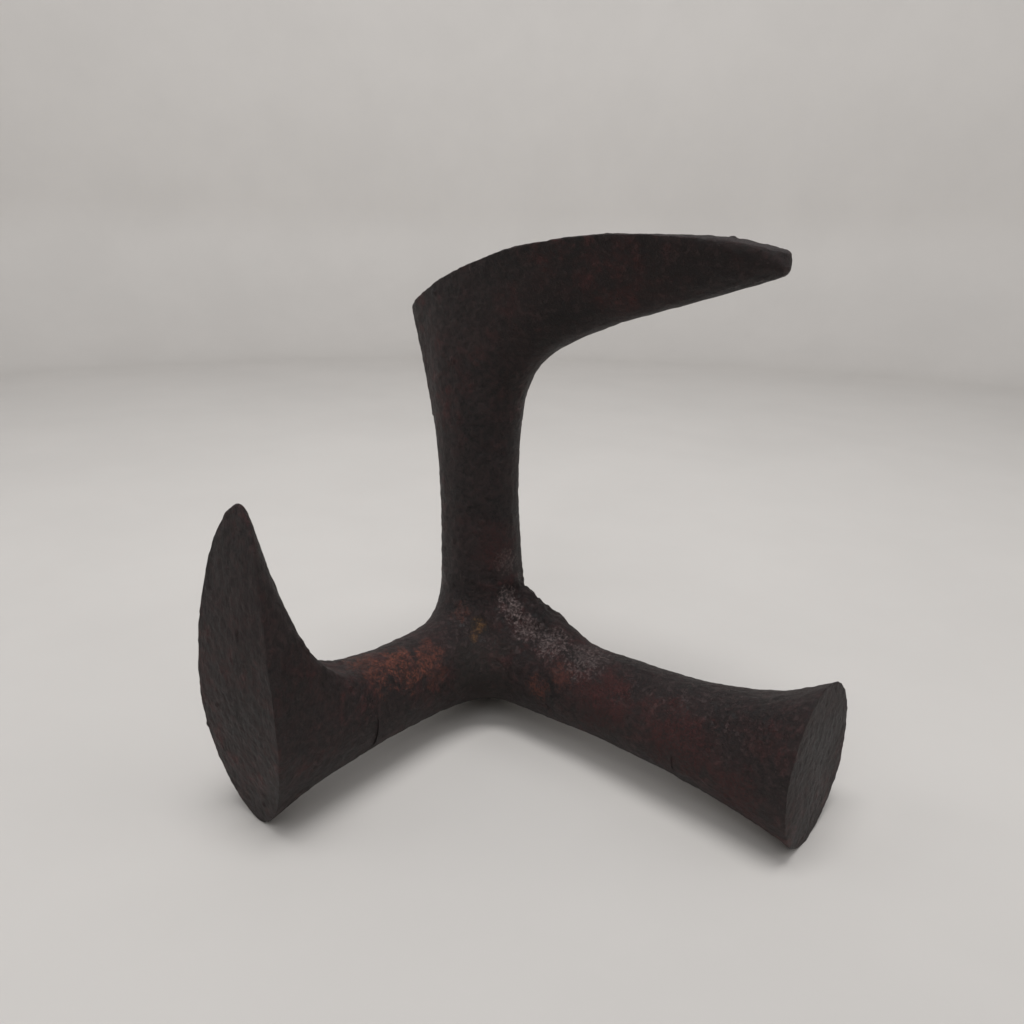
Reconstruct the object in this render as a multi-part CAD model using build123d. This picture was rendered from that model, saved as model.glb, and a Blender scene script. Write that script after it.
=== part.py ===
from build123d import *
import os
from dataclasses import dataclass
from math import asin, cos, hypot, pi, radians, sin, sqrt, tan

# Three-way iron shoe last: one grey-iron casting.  Three round legs leave a common hub at nearly
# right angles.  The upright leg carries an adult foot, the second leg a child's foot and the
# third a flat heel pad.  Any one of the three can be stood up; here the adult foot is on top.
# Millimetres, +Z up.  The origin is on the bench under the crossing of the three leg axes.
# +X is the heading of the heel leg.  The child's leg heads towards -Y.


@dataclass
class Last:
    """One working end: a round leg that flares into a foot or pad.

    Lengths run along the leg from the crossing of the axes.  Reaches are measured across the
    leg, from its axis: towards the toe, towards the heel and to the side.
    """

    leg_length: float        # crossing to the highest point of the sole
    waist_radius: float      # leg at its thinnest
    root_radius: float       # leg where it enters the hub
    toe_reach: float
    heel_reach: float
    half_width: float
    widest_at: float         # distance from the leg axis to the widest station
    side_offset: float       # outline centre line to leg axis
    end_power: float         # 1 is an elliptical end, more is a more pointed one
    toe_side_power: float
    heel_side_power: float
    rocker_radius: float     # lengthwise curve of the sole, 0 for a flat face
    rocker_apex: float       # distance from the leg axis to the sole's highest station
    toe_slope: float         # rise of the underside per unit of reach, towards the toe
    heel_slope: float
    side_slope: float
    toe_blend: float         # roundness of the flare between leg and underside, in mm squared
    heel_blend: float
    side_blend: float
    toe_facet: float         # height of the blunt vertical end of the toe
    toe_turn: float          # degrees about the leg
    neck_depth: float        # sole to the plane that parts the foot from its leg


# ---- driving dimensions -------------------------------------------------------------------
ADULT = Last(
    leg_length=209.5,
    waist_radius=18.0,
    root_radius=25.0,
    toe_reach=152.0,
    heel_reach=37.0,
    half_width=27.0,
    widest_at=42.0,
    side_offset=2.5,
    end_power=1.1,
    toe_side_power=1.0,
    heel_side_power=0.95,
    rocker_radius=245.0,
    rocker_apex=87.0,
    toe_slope=0.22,
    heel_slope=4.8,
    side_slope=0.65,
    toe_blend=325.0,
    heel_blend=100.0,
    side_blend=190.0,
    toe_facet=9.0,
    toe_turn=5.0,
    neck_depth=84.0,
)
CHILD = Last(
    leg_length=150.0,
    waist_radius=17.0,
    root_radius=25.0,
    toe_reach=112.0,
    heel_reach=34.0,
    half_width=27.0,
    widest_at=19.0,
    side_offset=5.0,
    end_power=1.1,
    toe_side_power=1.2,
    heel_side_power=1.15,
    rocker_radius=385.0,
    rocker_apex=46.0,
    toe_slope=0.165,
    heel_slope=2.0,
    side_slope=0.9,
    toe_blend=270.0,
    heel_blend=92.0,
    side_blend=190.0,
    toe_facet=3.0,
    toe_turn=-5.0,
    neck_depth=56.0,
)
HEEL = Last(
    leg_length=182.0,
    waist_radius=18.2,
    root_radius=26.5,
    toe_reach=22.0,
    heel_reach=41.0,
    half_width=37.0,
    widest_at=-7.0,
    side_offset=-3.0,
    end_power=1.0,
    toe_side_power=1.0,
    heel_side_power=0.95,
    rocker_radius=0.0,
    rocker_apex=0.0,
    toe_slope=2.0,
    heel_slope=2.0,
    side_slope=1.1,
    toe_blend=120.0,
    heel_blend=150.0,
    side_blend=200.0,
    toe_facet=0.0,
    toe_turn=0.0,
    neck_depth=52.0,
)
CROSSING_HEIGHT = 31.0       # bench to the crossing of the leg axes
PLAN_ANGLE = 87.0            # between the child's leg and the heel leg, seen from above
LEAN_BACK = 2.0              # degrees, upright away from the heel leg
LEAN_FRONT = 1.0             # degrees, upright towards the child's leg
BENCH_WEAR = 0.4             # depth of the flats worn where the last meets the bench
HUB_FLAT_DEPTH = 1.0         # flat under the hub, cut from the hub ball
HUB_SET_BACK = 2.5           # hub ball from the crossing, away from each lying leg
HUB_DROP = 4.0               # hub ball below the crossing
ROOT_TAPER = 105.0           # length over which a leg narrows from its root to its waist
ADULT_HEEL_FILLET = 28.0     # concave radius between two legs
ADULT_CHILD_FILLET = 20.0
CHILD_HEEL_FILLET = 20.0
ELBOW_RADIUS = 21.0          # bent bar that fills each crotch
HUB_MARGIN = 4.0             # straight stretch between an elbow's end and the hub's end plane
RIB_RADIUS = 9.0             # gate stub: a round rib from the adult-heel crotch along the heel leg
RIB_START = (16.0, 4.0, 31.0)  # ends of its axis, from the crossing
RIB_END = (75.0, 4.0, 9.0)
OUTLINE_POINTS = 28          # stations round one section of a flare
FLARE_STEPS = 20             # sections along one leg and its flare
TRIM = 400.0                 # size of the blocks that trim one end from another


# ---- one working end, in its own frame: +Z along the leg, +X to the toe ---------------------
def outline_point(last, turn):
    """Point of the sole outline at an angle from the toe, seen along the leg."""
    along = cos(turn)
    across = sin(turn)
    if along > 0:
        reach = last.toe_reach - last.widest_at
        power = last.toe_side_power
    else:
        reach = last.heel_reach + last.widest_at
        power = last.heel_side_power
    x = last.widest_at + reach * abs(along) ** last.end_power * (1 if along > 0 else -1)
    y = last.side_offset + last.half_width * abs(across) ** power * (1 if across > 0 else -1)
    return x, y


def sole_drop(last, x):
    """How far the sole lies below its highest station, x from the leg axis."""
    if last.rocker_radius == 0:
        return 0.0
    return (x - last.rocker_apex) ** 2 / (2 * last.rocker_radius)


def leg_radius(last, height):
    """The leg narrows smoothly from its root in the hub to its waist."""
    taper = max(0.0, 1 - height / ROOT_TAPER)
    return last.waist_radius + (last.root_radius - last.waist_radius) * taper**2


def flare_radius(depth, rim, leg, slope, blend):
    """Hyperbola that joins the leg's side to the straight underside, through the rim at depth 0."""
    rim = max(rim, leg + 1)
    start = rim - blend / (slope * (rim - leg))
    line = depth - slope * start
    return (slope * leg - line + sqrt((line + slope * leg) ** 2 + 4 * slope * blend)) / (2 * slope)


def section_point(last, turn, height):
    """Point of the flare's surface at one angle and one height along the leg."""
    rim_x, rim_y = outline_point(last, turn)
    lengthwise = cos(turn) ** 2
    towards_toe = cos(turn) > 0
    end_slope = last.toe_slope if towards_toe else last.heel_slope
    end_blend = last.toe_blend if towards_toe else last.heel_blend
    slope = end_slope * lengthwise + last.side_slope * (1 - lengthwise)
    blend = end_blend * lengthwise + last.side_blend * (1 - lengthwise)
    facet = last.toe_facet * lengthwise**3 if towards_toe else 0.0
    depth = last.leg_length - height - sole_drop(last, rim_x) - facet
    leg = leg_radius(last, height)
    rim = max(hypot(rim_x, rim_y), leg + 1)
    share = min(1.0, (flare_radius(depth, rim, leg, slope, blend) - leg) / (rim - leg))
    x = leg * cos(turn) + (rim_x - leg * cos(turn)) * share
    y = leg * sin(turn) + (rim_y - leg * sin(turn)) * share
    return x, y


def turns():
    return [2 * pi * step / OUTLINE_POINTS for step in range(OUTLINE_POINTS)]


def section(last, height):
    points = [(*section_point(last, turn, height), height) for turn in turns()]
    return Wire([Spline(*points, periodic=True).edge()])


def flare_heights(last):
    """Sections lie close together under the sole and far apart along the leg."""
    top = last.leg_length + 2
    return [top * (1 - (step / FLARE_STEPS) ** 1.7) for step in range(FLARE_STEPS + 1)]


def trumpet(last):
    """Leg and flare as one loft, cut to the sole's rocker."""
    body = Solid.make_loft([section(last, height) for height in flare_heights(last)], ruled=True)
    return Part() + body & under_sole(last)


def under_sole(last):
    """Block under the sole: a long arc from toe to heel, or a flat face."""
    low = -5.0
    front = last.toe_reach + 10
    back = -last.heel_reach - 10
    heel_end = (back, last.leg_length - sole_drop(last, back))
    toe_end = (front, last.leg_length - sole_drop(last, front))
    if last.rocker_radius == 0:
        sole = Line(heel_end, toe_end)
    else:
        sole = ThreePointArc(heel_end, (last.rocker_apex, last.leg_length), toe_end)
    sides = Polyline(toe_end, (front, low), (back, low), heel_end)
    return extrude(Plane.XZ * make_face(sole + sides), TRIM / 2, both=True)


# ---- placing the three ends ----------------------------------------------------------------
def heading(azimuth, rise):
    return Vector(cos(azimuth) * cos(rise), sin(azimuth) * cos(rise), sin(rise))


def end_frame(direction, towards_toe, turn):
    """Frame of one end at the crossing, its +X turned about the leg from the given direction."""
    across = direction.cross(towards_toe).normalized()
    toe = across.cross(direction)
    frame = Plane(origin=(0, 0, CROSSING_HEIGHT), x_dir=toe, z_dir=direction)
    return frame.rotated((0, 0, turn))


def rise_to_bench(leg_length, drop):
    """Tilt of a lying leg whose end hangs below the axis by drop and rests on the bench."""
    return asin((drop - BENCH_WEAR - CROSSING_HEIGHT) / leg_length)


child_rise = rise_to_bench(CHILD.leg_length, CHILD.heel_reach)
heel_rise = rise_to_bench(HEEL.leg_length, HEEL.half_width + HEEL.side_offset)
heel_way = heading(0, heel_rise)
child_way = heading(radians(-PLAN_ANGLE), child_rise)
adult_way = Vector(-sin(radians(LEAN_BACK)), -sin(radians(LEAN_FRONT)), 1).normalized()

# Crossing to the planes that part the legs from the hub, just past the longest elbow.
largest_fillet = max(ADULT_HEEL_FILLET, ADULT_CHILD_FILLET, CHILD_HEEL_FILLET)
hub_reach = largest_fillet + ELBOW_RADIUS + HUB_MARGIN

adult_frame = end_frame(adult_way, heel_way, ADULT.toe_turn)
child_frame = end_frame(child_way, adult_way, CHILD.toe_turn)
heel_frame = end_frame(heel_way, child_way, HEEL.toe_turn)

bench = Pos(0, 0, -TRIM / 2) * Box(2 * TRIM, 2 * TRIM, TRIM)


def elbow(frame_a, frame_b, fillet):
    """Bent round bar in the crotch between two legs; its inner side is the crotch's fillet."""
    way_a = frame_a.z_dir
    normal = way_a.cross(frame_b.z_dir).normalized()
    angle = way_a.get_angle(frame_b.z_dir)
    bend = fillet + ELBOW_RADIUS
    start = frame_a.origin + way_a * (bend / tan(radians(angle / 2)))
    centre = start + normal.cross(way_a) * bend
    bar = Plane(origin=start, x_dir=normal, z_dir=way_a) * Circle(ELBOW_RADIUS)
    return revolve(bar, Axis(centre, normal), angle - 180)


def gate_rib():
    """What is left of the gate the iron was poured through, on the heel leg's upper side."""
    crossing = Vector(0, 0, CROSSING_HEIGHT)
    start = crossing + Vector(RIB_START)
    way = Vector(RIB_END) - Vector(RIB_START)
    return extrude(Plane(origin=start, z_dir=way) * Circle(RIB_RADIUS), way.length)


def beyond(frame, reach):
    """Block on the far side of a plane across a leg."""
    return frame.location * Pos(0, 0, reach + TRIM / 2) * Box(TRIM, TRIM, TRIM)


parts = {}
ends = (
    ("adult", "foot", ADULT, adult_frame),
    ("child", "foot", CHILD, child_frame),
    ("heel", "pad", HEEL, heel_frame),
)
hub = Part()
for name, tip, last, frame in ends:
    whole = frame.location * trumpet(last) - bench
    if last is HEEL:
        whole += gate_rib()
    hub_cut = beyond(frame, hub_reach)
    neck_cut = beyond(frame, last.leg_length - last.neck_depth)
    parts[f"{name}_{tip}"] = whole & neck_cut
    parts[f"{name}_leg"] = (whole & hub_cut) - neck_cut
    hub += whole - hub_cut
ball_height = CROSSING_HEIGHT - HUB_DROP
hub += Pos(-HUB_SET_BACK, HUB_SET_BACK, ball_height) * Sphere(ball_height + HUB_FLAT_DEPTH)
hub += elbow(adult_frame, child_frame, ADULT_CHILD_FILLET)
hub += elbow(adult_frame, heel_frame, ADULT_HEEL_FILLET)
hub += elbow(child_frame, heel_frame, CHILD_HEEL_FILLET)
parts["hub"] = hub - bench

os.makedirs("parts", exist_ok=True)
for name, shape in parts.items():
    shape.label = name
    export_step(shape, f"parts/{name}.step")
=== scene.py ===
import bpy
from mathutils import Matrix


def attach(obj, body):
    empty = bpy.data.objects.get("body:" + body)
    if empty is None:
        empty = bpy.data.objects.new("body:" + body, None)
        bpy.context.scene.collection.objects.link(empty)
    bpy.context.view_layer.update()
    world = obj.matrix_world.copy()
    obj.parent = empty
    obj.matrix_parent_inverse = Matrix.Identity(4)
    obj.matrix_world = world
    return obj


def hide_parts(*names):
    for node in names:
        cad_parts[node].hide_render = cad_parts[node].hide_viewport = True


bl_info = {
    "name": "Three-way shoe last",
    "version": (1, 0, 0),
    "blender": (4, 5, 0),
    "location": "View3D > Sidebar > Shoe Last",
    "description": "Builds an old cast-iron shoe last with an adult foot, a child's foot and a heel pad",
    "category": "Add Mesh",
}

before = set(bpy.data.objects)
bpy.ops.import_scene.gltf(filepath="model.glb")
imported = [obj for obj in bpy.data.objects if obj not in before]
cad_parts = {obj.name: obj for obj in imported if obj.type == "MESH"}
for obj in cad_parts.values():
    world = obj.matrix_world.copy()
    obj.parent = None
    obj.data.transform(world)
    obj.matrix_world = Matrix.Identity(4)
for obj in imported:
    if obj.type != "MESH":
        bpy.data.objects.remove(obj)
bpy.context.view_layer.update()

import math

import bmesh
import bpy
import numpy as np
from bpy.props import FloatProperty, FloatVectorProperty, PointerProperty
from bpy.types import Operator, Panel, PropertyGroup
from mathutils import Matrix, Vector
from mathutils.bvhtree import BVHTree

MM = 0.001
BODY = "root"
FACE_MASK = "working_face"
EDGE_MASK = "worn_edge"


# ---- what a user may change -----------------------------------------------------------------
def length(label, description, default):
    return FloatProperty(
        name=label, description=description, default=default, subtype="DISTANCE", unit="LENGTH"
    )


def angle(label, description, degrees):
    return FloatProperty(
        name=label, description=description, default=math.radians(degrees), subtype="ANGLE"
    )


def plain(label, description, default):
    return FloatProperty(name=label, description=description, default=default)


def colour(label, description, default):
    return FloatVectorProperty(
        name=label, description=description, default=default, size=3, subtype="COLOR", min=0, max=1
    )


def point(label, description, default):
    """Point given in millimetres and kept in metres."""
    return FloatVectorProperty(
        name=label, description=description, default=[value * MM for value in default],
        subtype="XYZ", unit="LENGTH",
    )


# Sizes of a working end: name, kind and what it means.
END_SIZES = (
    ("leg_length", length, "Crossing of the legs to the top of the sole"),
    ("waist_radius", length, "Leg at its thinnest"),
    ("root_radius", length, "Leg where it enters the hub"),
    ("toe_reach", length, "Leg axis to the toe"),
    ("heel_reach", length, "Leg axis to the heel"),
    ("half_width", length, "Half the width of the sole"),
    ("widest_at", length, "Leg axis to the widest station"),
    ("side_offset", length, "Sole's centre line to the leg axis"),
    ("rocker_apex", length, "Leg axis to the top of the sole"),
    ("toe_facet", length, "Height of the blunt end of the toe"),
    ("sole_curvature", plain, "Lengthwise curvature, per metre"),
    ("end_power", plain, "Pointedness of toe and heel"),
    ("toe_side_power", plain, "Fullness of the sides by the toe"),
    ("heel_side_power", plain, "Fullness of the sides by the heel"),
    ("toe_slope", plain, "Slope of the underside by the toe"),
    ("heel_slope", plain, "Slope of the underside by the heel"),
    ("side_slope", plain, "Slope of the underside at the sides"),
    ("toe_blend", length, "Roundness of the flare by the toe"),
    ("heel_blend", length, "Roundness of the flare by the heel"),
    ("side_blend", length, "Roundness of the flare at the sides"),
    ("toe_turn", angle, "Turn of the foot about its leg"),
)


def end_group(class_name, sizes):
    """Property group of one working end.  Lengths come in millimetres, and are kept in metres."""
    fields = {}
    for key, kind, description in END_SIZES:
        unit = MM if kind is length else 1
        fields[key] = kind(key.replace("_", " ").capitalize(), description, sizes[key] * unit)
    return type(class_name, (PropertyGroup,), {"__annotations__": fields})


ShoeLastAdultEnd = end_group(
    "ShoeLastAdultEnd",
    {
        "leg_length": 209.5, "waist_radius": 18.0, "root_radius": 25.0, "toe_reach": 152.0,
        "heel_reach": 37.0, "half_width": 27.0, "widest_at": 42.0, "side_offset": 2.5,
        "rocker_apex": 87.0, "toe_facet": 9.0, "sole_curvature": 4.082, "end_power": 1.1,
        "toe_side_power": 1.0, "heel_side_power": 0.95, "toe_slope": 0.22, "heel_slope": 4.8,
        "side_slope": 0.65, "toe_blend": 18.0, "heel_blend": 10.0, "side_blend": 13.8,
        "toe_turn": 5.0,
    },
)
ShoeLastChildEnd = end_group(
    "ShoeLastChildEnd",
    {
        "leg_length": 150.0, "waist_radius": 17.0, "root_radius": 25.0, "toe_reach": 112.0,
        "heel_reach": 34.0, "half_width": 27.0, "widest_at": 19.0, "side_offset": 5.0,
        "rocker_apex": 46.0, "toe_facet": 3.0, "sole_curvature": 2.597, "end_power": 1.1,
        "toe_side_power": 1.2, "heel_side_power": 1.15, "toe_slope": 0.165, "heel_slope": 2.0,
        "side_slope": 0.9, "toe_blend": 16.4, "heel_blend": 9.6, "side_blend": 13.8,
        "toe_turn": -5.0,
    },
)
ShoeLastHeelEnd = end_group(
    "ShoeLastHeelEnd",
    {
        "leg_length": 182.0, "waist_radius": 18.2, "root_radius": 26.5, "toe_reach": 22.0,
        "heel_reach": 41.0, "half_width": 37.0, "widest_at": -7.0, "side_offset": -3.0,
        "rocker_apex": 0.0, "toe_facet": 0.0, "sole_curvature": 0.0, "end_power": 1.0,
        "toe_side_power": 1.0, "heel_side_power": 0.95, "toe_slope": 2.0, "heel_slope": 2.0,
        "side_slope": 1.1, "toe_blend": 11.0, "heel_blend": 12.2, "side_blend": 14.1,
        "toe_turn": 0.0,
    },
)


class ShoeLastCasting(PropertyGroup):
    """Sizes of the hub and of the rough skin."""

    crossing_height: length("Crossing height", "Bench to the crossing of the legs", 31.0 * MM)
    plan_angle: angle("Plan angle", "Between the child's leg and the heel leg, from above", 87.0)
    lean_back: angle("Lean back", "Upright away from the heel leg", 2.0)
    lean_front: angle("Lean front", "Upright towards the child's leg", 1.0)
    root_taper: length("Root taper", "Length over which a leg narrows to its waist", 105.0 * MM)
    adult_heel_fillet: length("Adult-heel fillet", "Concave radius of that crotch", 28.0 * MM)
    adult_child_fillet: length("Adult-child fillet", "Concave radius of that crotch", 20.0 * MM)
    child_heel_fillet: length("Child-heel fillet", "Concave radius of that crotch", 20.0 * MM)
    elbow_radius: length("Elbow radius", "Bent bar that fills each crotch", 21.0 * MM)
    hub_margin: length("Hub margin", "Straight stretch past an elbow in the hub", 4.0 * MM)
    hub_flat: length("Hub flat", "Depth of the flat under the hub", 1.0 * MM)
    hub_set_back: length("Hub set-back", "Hub ball away from each lying leg", 2.5 * MM)
    hub_drop: length("Hub drop", "Hub ball below the crossing", 4.0 * MM)
    rib_radius: length("Rib radius", "Gate stub along the heel leg's upper side", 9.0 * MM)
    rib_start: point("Rib start", "Upper end of the rib's axis, from the crossing", (16.0, 4.0, 31.0))
    rib_middle: point("Rib middle", "Where the rib is most ragged, from the crossing", (30.0, 6.0, 30.0))
    rib_reach: length("Rib reach", "How far the raggedness goes", 26.0 * MM)
    rib_roughness: length("Rib roughness", "Height of the raggedness", 13.0 * MM)
    rib_end: point("Rib end", "Lower end of the rib's axis, from the crossing", (75.0, 4.0, 9.0))
    bench_wear: length("Bench wear", "Depth of the flats worn by the bench", 0.4 * MM)
    grain_size: length("Mesh grain", "Size of the faces of the skin", 1.15 * MM)
    swell: length("Swell", "Height of the broad unevenness of the casting", 2.6 * MM)
    roughness: length("Roughness", "Height of the sand-cast texture", 1.5 * MM)
    pit_depth: length("Pit depth", "Depth of the scattered pits", 0.7 * MM)
    flash_height: length("Flash height", "Height of the ridge on the parting line", 0.8 * MM)
    flash_width: length("Flash width", "Half width of the ridge on the parting line", 1.5 * MM)
    flash_reach: length("Flash reach", "How far the ridge runs from under the hub", 150.0 * MM)


class ShoeLastFinish(PropertyGroup):
    """Colours of the old iron; the pale pinkish grey also paints the highlight on the shoulder."""

    scale_black: colour("Scale black", "Darkest tone of the skin", (0.0055, 0.0040, 0.0040))
    scale_brown: colour("Scale brown", "Usual tone of the skin", (0.031, 0.0185, 0.0178))
    maroon: colour("Maroon", "Old red oxide in broad patches", (0.060, 0.017, 0.016))
    red_oxide: colour("Red oxide", "Bright red rust", (0.17, 0.052, 0.033))
    ochre: colour("Ochre", "Yellow-brown rust at the hub", (0.21, 0.105, 0.04))
    olive: colour("Olive", "Greenish dark tone of the hub", (0.021, 0.021, 0.016))
    bared_iron: colour("Bared iron", "Iron rubbed bright on edges", (0.36, 0.33, 0.31))
    face_iron: colour("Face iron", "Smooth iron of the working faces", (0.013, 0.0115, 0.0098))
    # Pale pinkish grey: real flecks and scratches, and also the painted highlight along the shoulder.
    scuffed: colour("Scuffed", "Pinkish grey of the scuffed shoulder", (0.31, 0.235, 0.225))


class ShoeLastStage(PropertyGroup):
    """Camera, floor and lights."""

    camera_place: point("Camera", "Place of the camera", (269.3, -282.9, 235.0))
    heading: angle("Heading", "Turn of the camera about the upright, from facing +Y", 41.45)
    pitch: angle("Pitch", "Tilt of the camera below the horizon", 18.11)
    roll: angle("Roll", "Tilt of the camera to one side", 0.82)
    lens: FloatProperty(name="Lens", description="Focal length in millimetres", default=27.63)
    sensor: FloatProperty(name="Sensor", description="Sensor width in millimetres", default=36.0)
    floor_radius: length("Floor radius", "Flat part of the floor", 1.5)
    wall_height: length("Wall height", "Pale wall all round", 1.3)
    cove_radius: length("Cove radius", "Round corner of floor and wall", 0.35)
    floor_colour: colour("Floor colour", "Pale grey floor and wall", (0.60, 0.575, 0.55))


END_GROUPS = (ShoeLastAdultEnd, ShoeLastChildEnd, ShoeLastHeelEnd)


class ShoeLastSettings(PropertyGroup):
    """Everything that can be changed."""

    adult: PointerProperty(type=ShoeLastAdultEnd)
    child: PointerProperty(type=ShoeLastChildEnd)
    heel: PointerProperty(type=ShoeLastHeelEnd)
    casting: PointerProperty(type=ShoeLastCasting)
    finish: PointerProperty(type=ShoeLastFinish)
    stage: PointerProperty(type=ShoeLastStage)


def settings():
    return bpy.context.scene.shoe_last


# ---- sums in node trees ---------------------------------------------------------------------
class Term:
    """A value in a node tree.  Sums of terms add Math nodes, so a rule reads as on paper."""

    def __init__(self, tree, socket):
        self.tree = tree
        self.socket = socket

    def math(self, operation, *others):
        node = self.tree.nodes.new("ShaderNodeMath")
        node.operation = operation
        for index, value in enumerate((self, *others)):
            plug(self.tree, node.inputs[index], value)
        return Term(self.tree, node.outputs[0])

    def __add__(self, other):
        return self.math("ADD", other)

    def __sub__(self, other):
        return self.math("SUBTRACT", other)

    def __rsub__(self, other):
        return (self * -1) + other

    def __mul__(self, other):
        return self.math("MULTIPLY", other)

    def __truediv__(self, other):
        return self.math("DIVIDE", other)

    def __pow__(self, other):
        return self.math("POWER", other)

    __radd__ = __add__
    __rmul__ = __mul__

    def between(self, low, high):
        """low where the term is 0, high where it is 1."""
        return (high - low) * self + low

    def step(self, start, end):
        """Smooth rise from 0 at start to 1 at end."""
        node = self.tree.nodes.new("ShaderNodeMapRange")
        node.interpolation_type = "SMOOTHSTEP"
        plug(self.tree, node.inputs["Value"], self)
        plug(self.tree, node.inputs["From Min"], start)
        plug(self.tree, node.inputs["From Max"], end)
        return Term(self.tree, node.outputs["Result"])

    def clamped(self):
        return self.math("MAXIMUM", 0.0).math("MINIMUM", 1.0)


def plug(tree, socket, value):
    """Links a term or socket into an input, or sets the input's own value."""
    if isinstance(value, Term):
        tree.links.new(value.socket, socket)
    elif isinstance(value, bpy.types.NodeSocket):
        tree.links.new(value, socket)
    else:
        socket.default_value = value


def new_group(name, kind, inputs, outputs):
    """Node tree with named sockets.  Inputs are (name, socket type, default)."""
    tree = bpy.data.node_groups.new(name, kind)
    for label, socket_type, default in inputs:
        socket = tree.interface.new_socket(label, in_out="INPUT", socket_type=socket_type)
        if default is not None:
            socket.default_value = default
    for label, socket_type in outputs:
        tree.interface.new_socket(label, in_out="OUTPUT", socket_type=socket_type)
    return tree, tree.nodes.new("NodeGroupInput"), tree.nodes.new("NodeGroupOutput")


def noise(tree, place, scale, detail=4.0, roughness=0.55, offset=0.0):
    node = tree.nodes.new("ShaderNodeTexNoise")
    node.noise_dimensions = "4D"
    plug(tree, node.inputs["Vector"], place)
    node.inputs["W"].default_value = offset
    node.inputs["Scale"].default_value = scale
    node.inputs["Detail"].default_value = detail
    node.inputs["Roughness"].default_value = roughness
    return Term(tree, node.outputs["Fac"])


def unevenness(tree, place, scale, detail, offset):
    """Noise that is 0 on average."""
    return noise(tree, place, scale, detail, 0.5, offset) - 0.5


def distance(tree, place, centre):
    node = tree.nodes.new("ShaderNodeVectorMath")
    node.operation = "DISTANCE"
    plug(tree, node.inputs[0], place)
    plug(tree, node.inputs[1], centre)
    return Term(tree, node.outputs["Value"])


# ---- geometry trees -------------------------------------------------------------------------
SOLE_SHARE = 0.3          # part of the rows that lies on the sole
RIM_CROWDING = 1.3        # rows lie closer together by the rim
STATIONS = 300            # round the end
ROWS = 250                # from the middle of the sole to the foot of the leg
BAR_SIDES = 72
TREE_SIZES = tuple(key for key, kind, description in END_SIZES if kind is not angle)


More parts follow.
